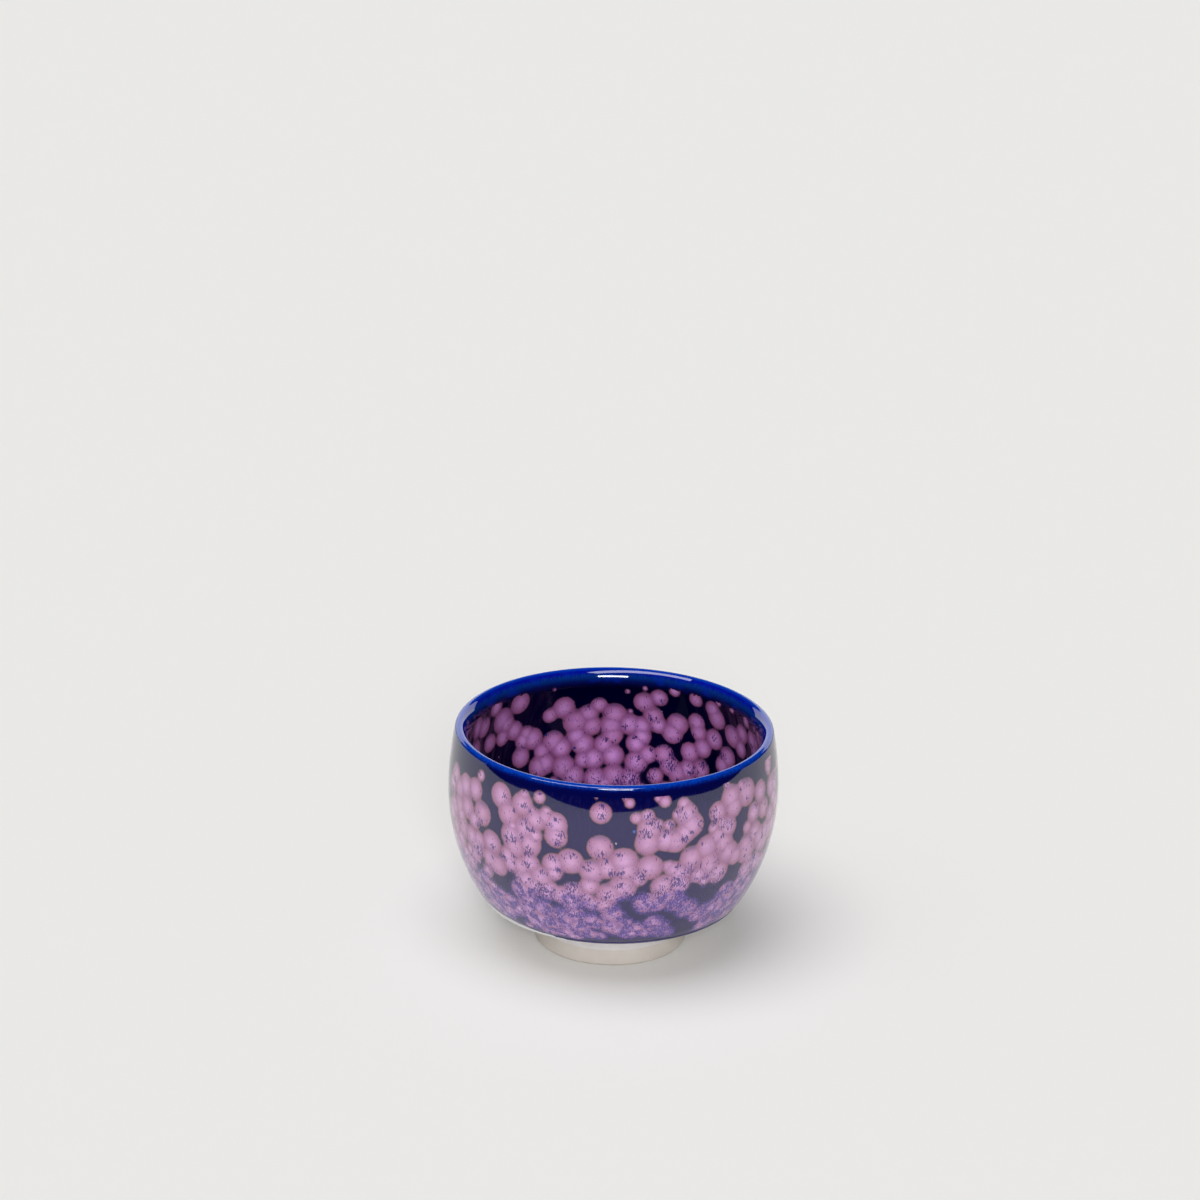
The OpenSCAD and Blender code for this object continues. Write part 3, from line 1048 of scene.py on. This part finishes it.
# Cards that the glaze reflects: name, azimuth, elevation and distance from the aim, width,
# height and glow
cards = (
    ("front_softbox", 2, 28, 2, 0.76, 0.34, 22),
    ("long_panel", -27, 61, 1.5, 1.7, 0.36, 5),
    ("backdrop_glow", 180, 14.95, 1.656, 3.4, 0.9, 1.3))

# The table: how far it reaches to either side, in front of the cup and behind it. It ends
# near the cup's sides so that the glaze under the lip reflects the dark room there.
table_side = 0.31
table_front = 0.3
table_back = 5.7
table_glow = 0.055
table_colour = linear(236, 235, 233)
backdrop_colour = linear(233, 232, 230)


def toward(azimuth, elevation, distance):
    """The place that lies that way and that far from the aim."""
    a = math.radians(azimuth)
    e = math.radians(elevation)
    way = Vector((math.sin(a) * math.cos(e), -math.cos(a) * math.cos(e), math.sin(e)))
    return aim + distance * way


def make_lamp(name, strength, azimuth, elevation, width):
    """A sun that points at the cup and that reflections don't show."""
    data = bpy.data.lights.new(name, "SUN")
    data.energy = strength
    data.angle = math.radians(width)
    made = bpy.data.objects.new(name, data)
    made.location = toward(azimuth, elevation, lamp_distance)
    made.rotation_mode = "QUATERNION"
    made.rotation_quaternion = (made.location - aim).to_track_quat("Z", "Y")
    made.visible_glossy = False
    bpy.context.scene.collection.objects.link(made)


def make_card(name, azimuth, elevation, distance, across, tall, glow):
    """A card that only reflections show, turned to the cup."""
    bpy.ops.mesh.primitive_plane_add(size=1)
    made = bpy.context.object
    made.name = name
    made.scale = (across, tall, 1)
    made.location = toward(azimuth, elevation, distance)
    made.rotation_mode = "QUATERNION"
    made.rotation_quaternion = (aim - made.location).to_track_quat("Z", "Y")
    material = bpy.data.materials.new(name)
    material.use_nodes = True
    material.node_tree.nodes.clear()
    graph = Graph(material)
    light = graph.add("ShaderNodeEmission", {"Strength": glow})
    graph.add("ShaderNodeOutputMaterial", {"Surface": light.outputs[0]})
    made.data.materials.append(material)
    made.visible_camera = False
    made.visible_diffuse = False
    made.visible_shadow = False


def make_table():
    """A pale table. For the camera and in reflections it glows a little too, which keeps the
    cup's shadow on it light."""
    corners = [
        (-table_side, -table_front, 0), (table_side, -table_front, 0),
        (table_side, table_back, 0), (-table_side, table_back, 0)]
    mesh = bpy.data.meshes.new("table")
    mesh.from_pydata(corners, [], [range(len(corners))])
    table = bpy.data.objects.new("table", mesh)
    bpy.context.scene.collection.objects.link(table)
    material = new_material(
        "table", Base_Color=table_colour, Roughness=0.9, Specular_IOR_Level=0,
        Emission_Color=table_colour)
    graph = Graph(material)
    rays = graph.add("ShaderNodeLightPath", {})
    seen = graph.math("ADD", rays.outputs["Is Camera Ray"], rays.outputs["Is Glossy Ray"], clamp=True)
    graph.set(graph.shader.inputs["Emission Strength"], graph.times(seen, table_glow))
    table.data.materials.append(material)


def make_world():
    """Soft light from all round, a pale backdrop for the camera, and a dark room in
    reflections, where only the cards and the table show."""
    world = bpy.data.worlds.new("studio")
    bpy.context.scene.world = world
    world.use_nodes = True
    world.node_tree.nodes.clear()
    graph = Graph(world)
    rays = graph.add("ShaderNodeLightPath", {})
    room = graph.add("ShaderNodeBackground", {"Strength": room_light})
    dark = graph.add("ShaderNodeBackground", {"Strength": dark_room_light})
    pale = graph.add("ShaderNodeBackground", {"Color": backdrop_colour})
    light = graph.add("ShaderNodeMixShader", {
        0: rays.outputs["Is Glossy Ray"], 1: room.outputs[0], 2: dark.outputs[0]})
    whole = graph.add("ShaderNodeMixShader", {
        0: rays.outputs["Is Camera Ray"], 1: light.outputs[0], 2: pale.outputs[0]})
    graph.add("ShaderNodeOutputWorld", {"Surface": whole.outputs[0]})


def make_stage():
    make_table()
    make_world()
    for settings in lamps:
        make_lamp(*settings)
    for settings in cards:
        make_card(*settings)


make_camera()
make_stage()
bpy.context.scene.view_settings.view_transform = "Standard"
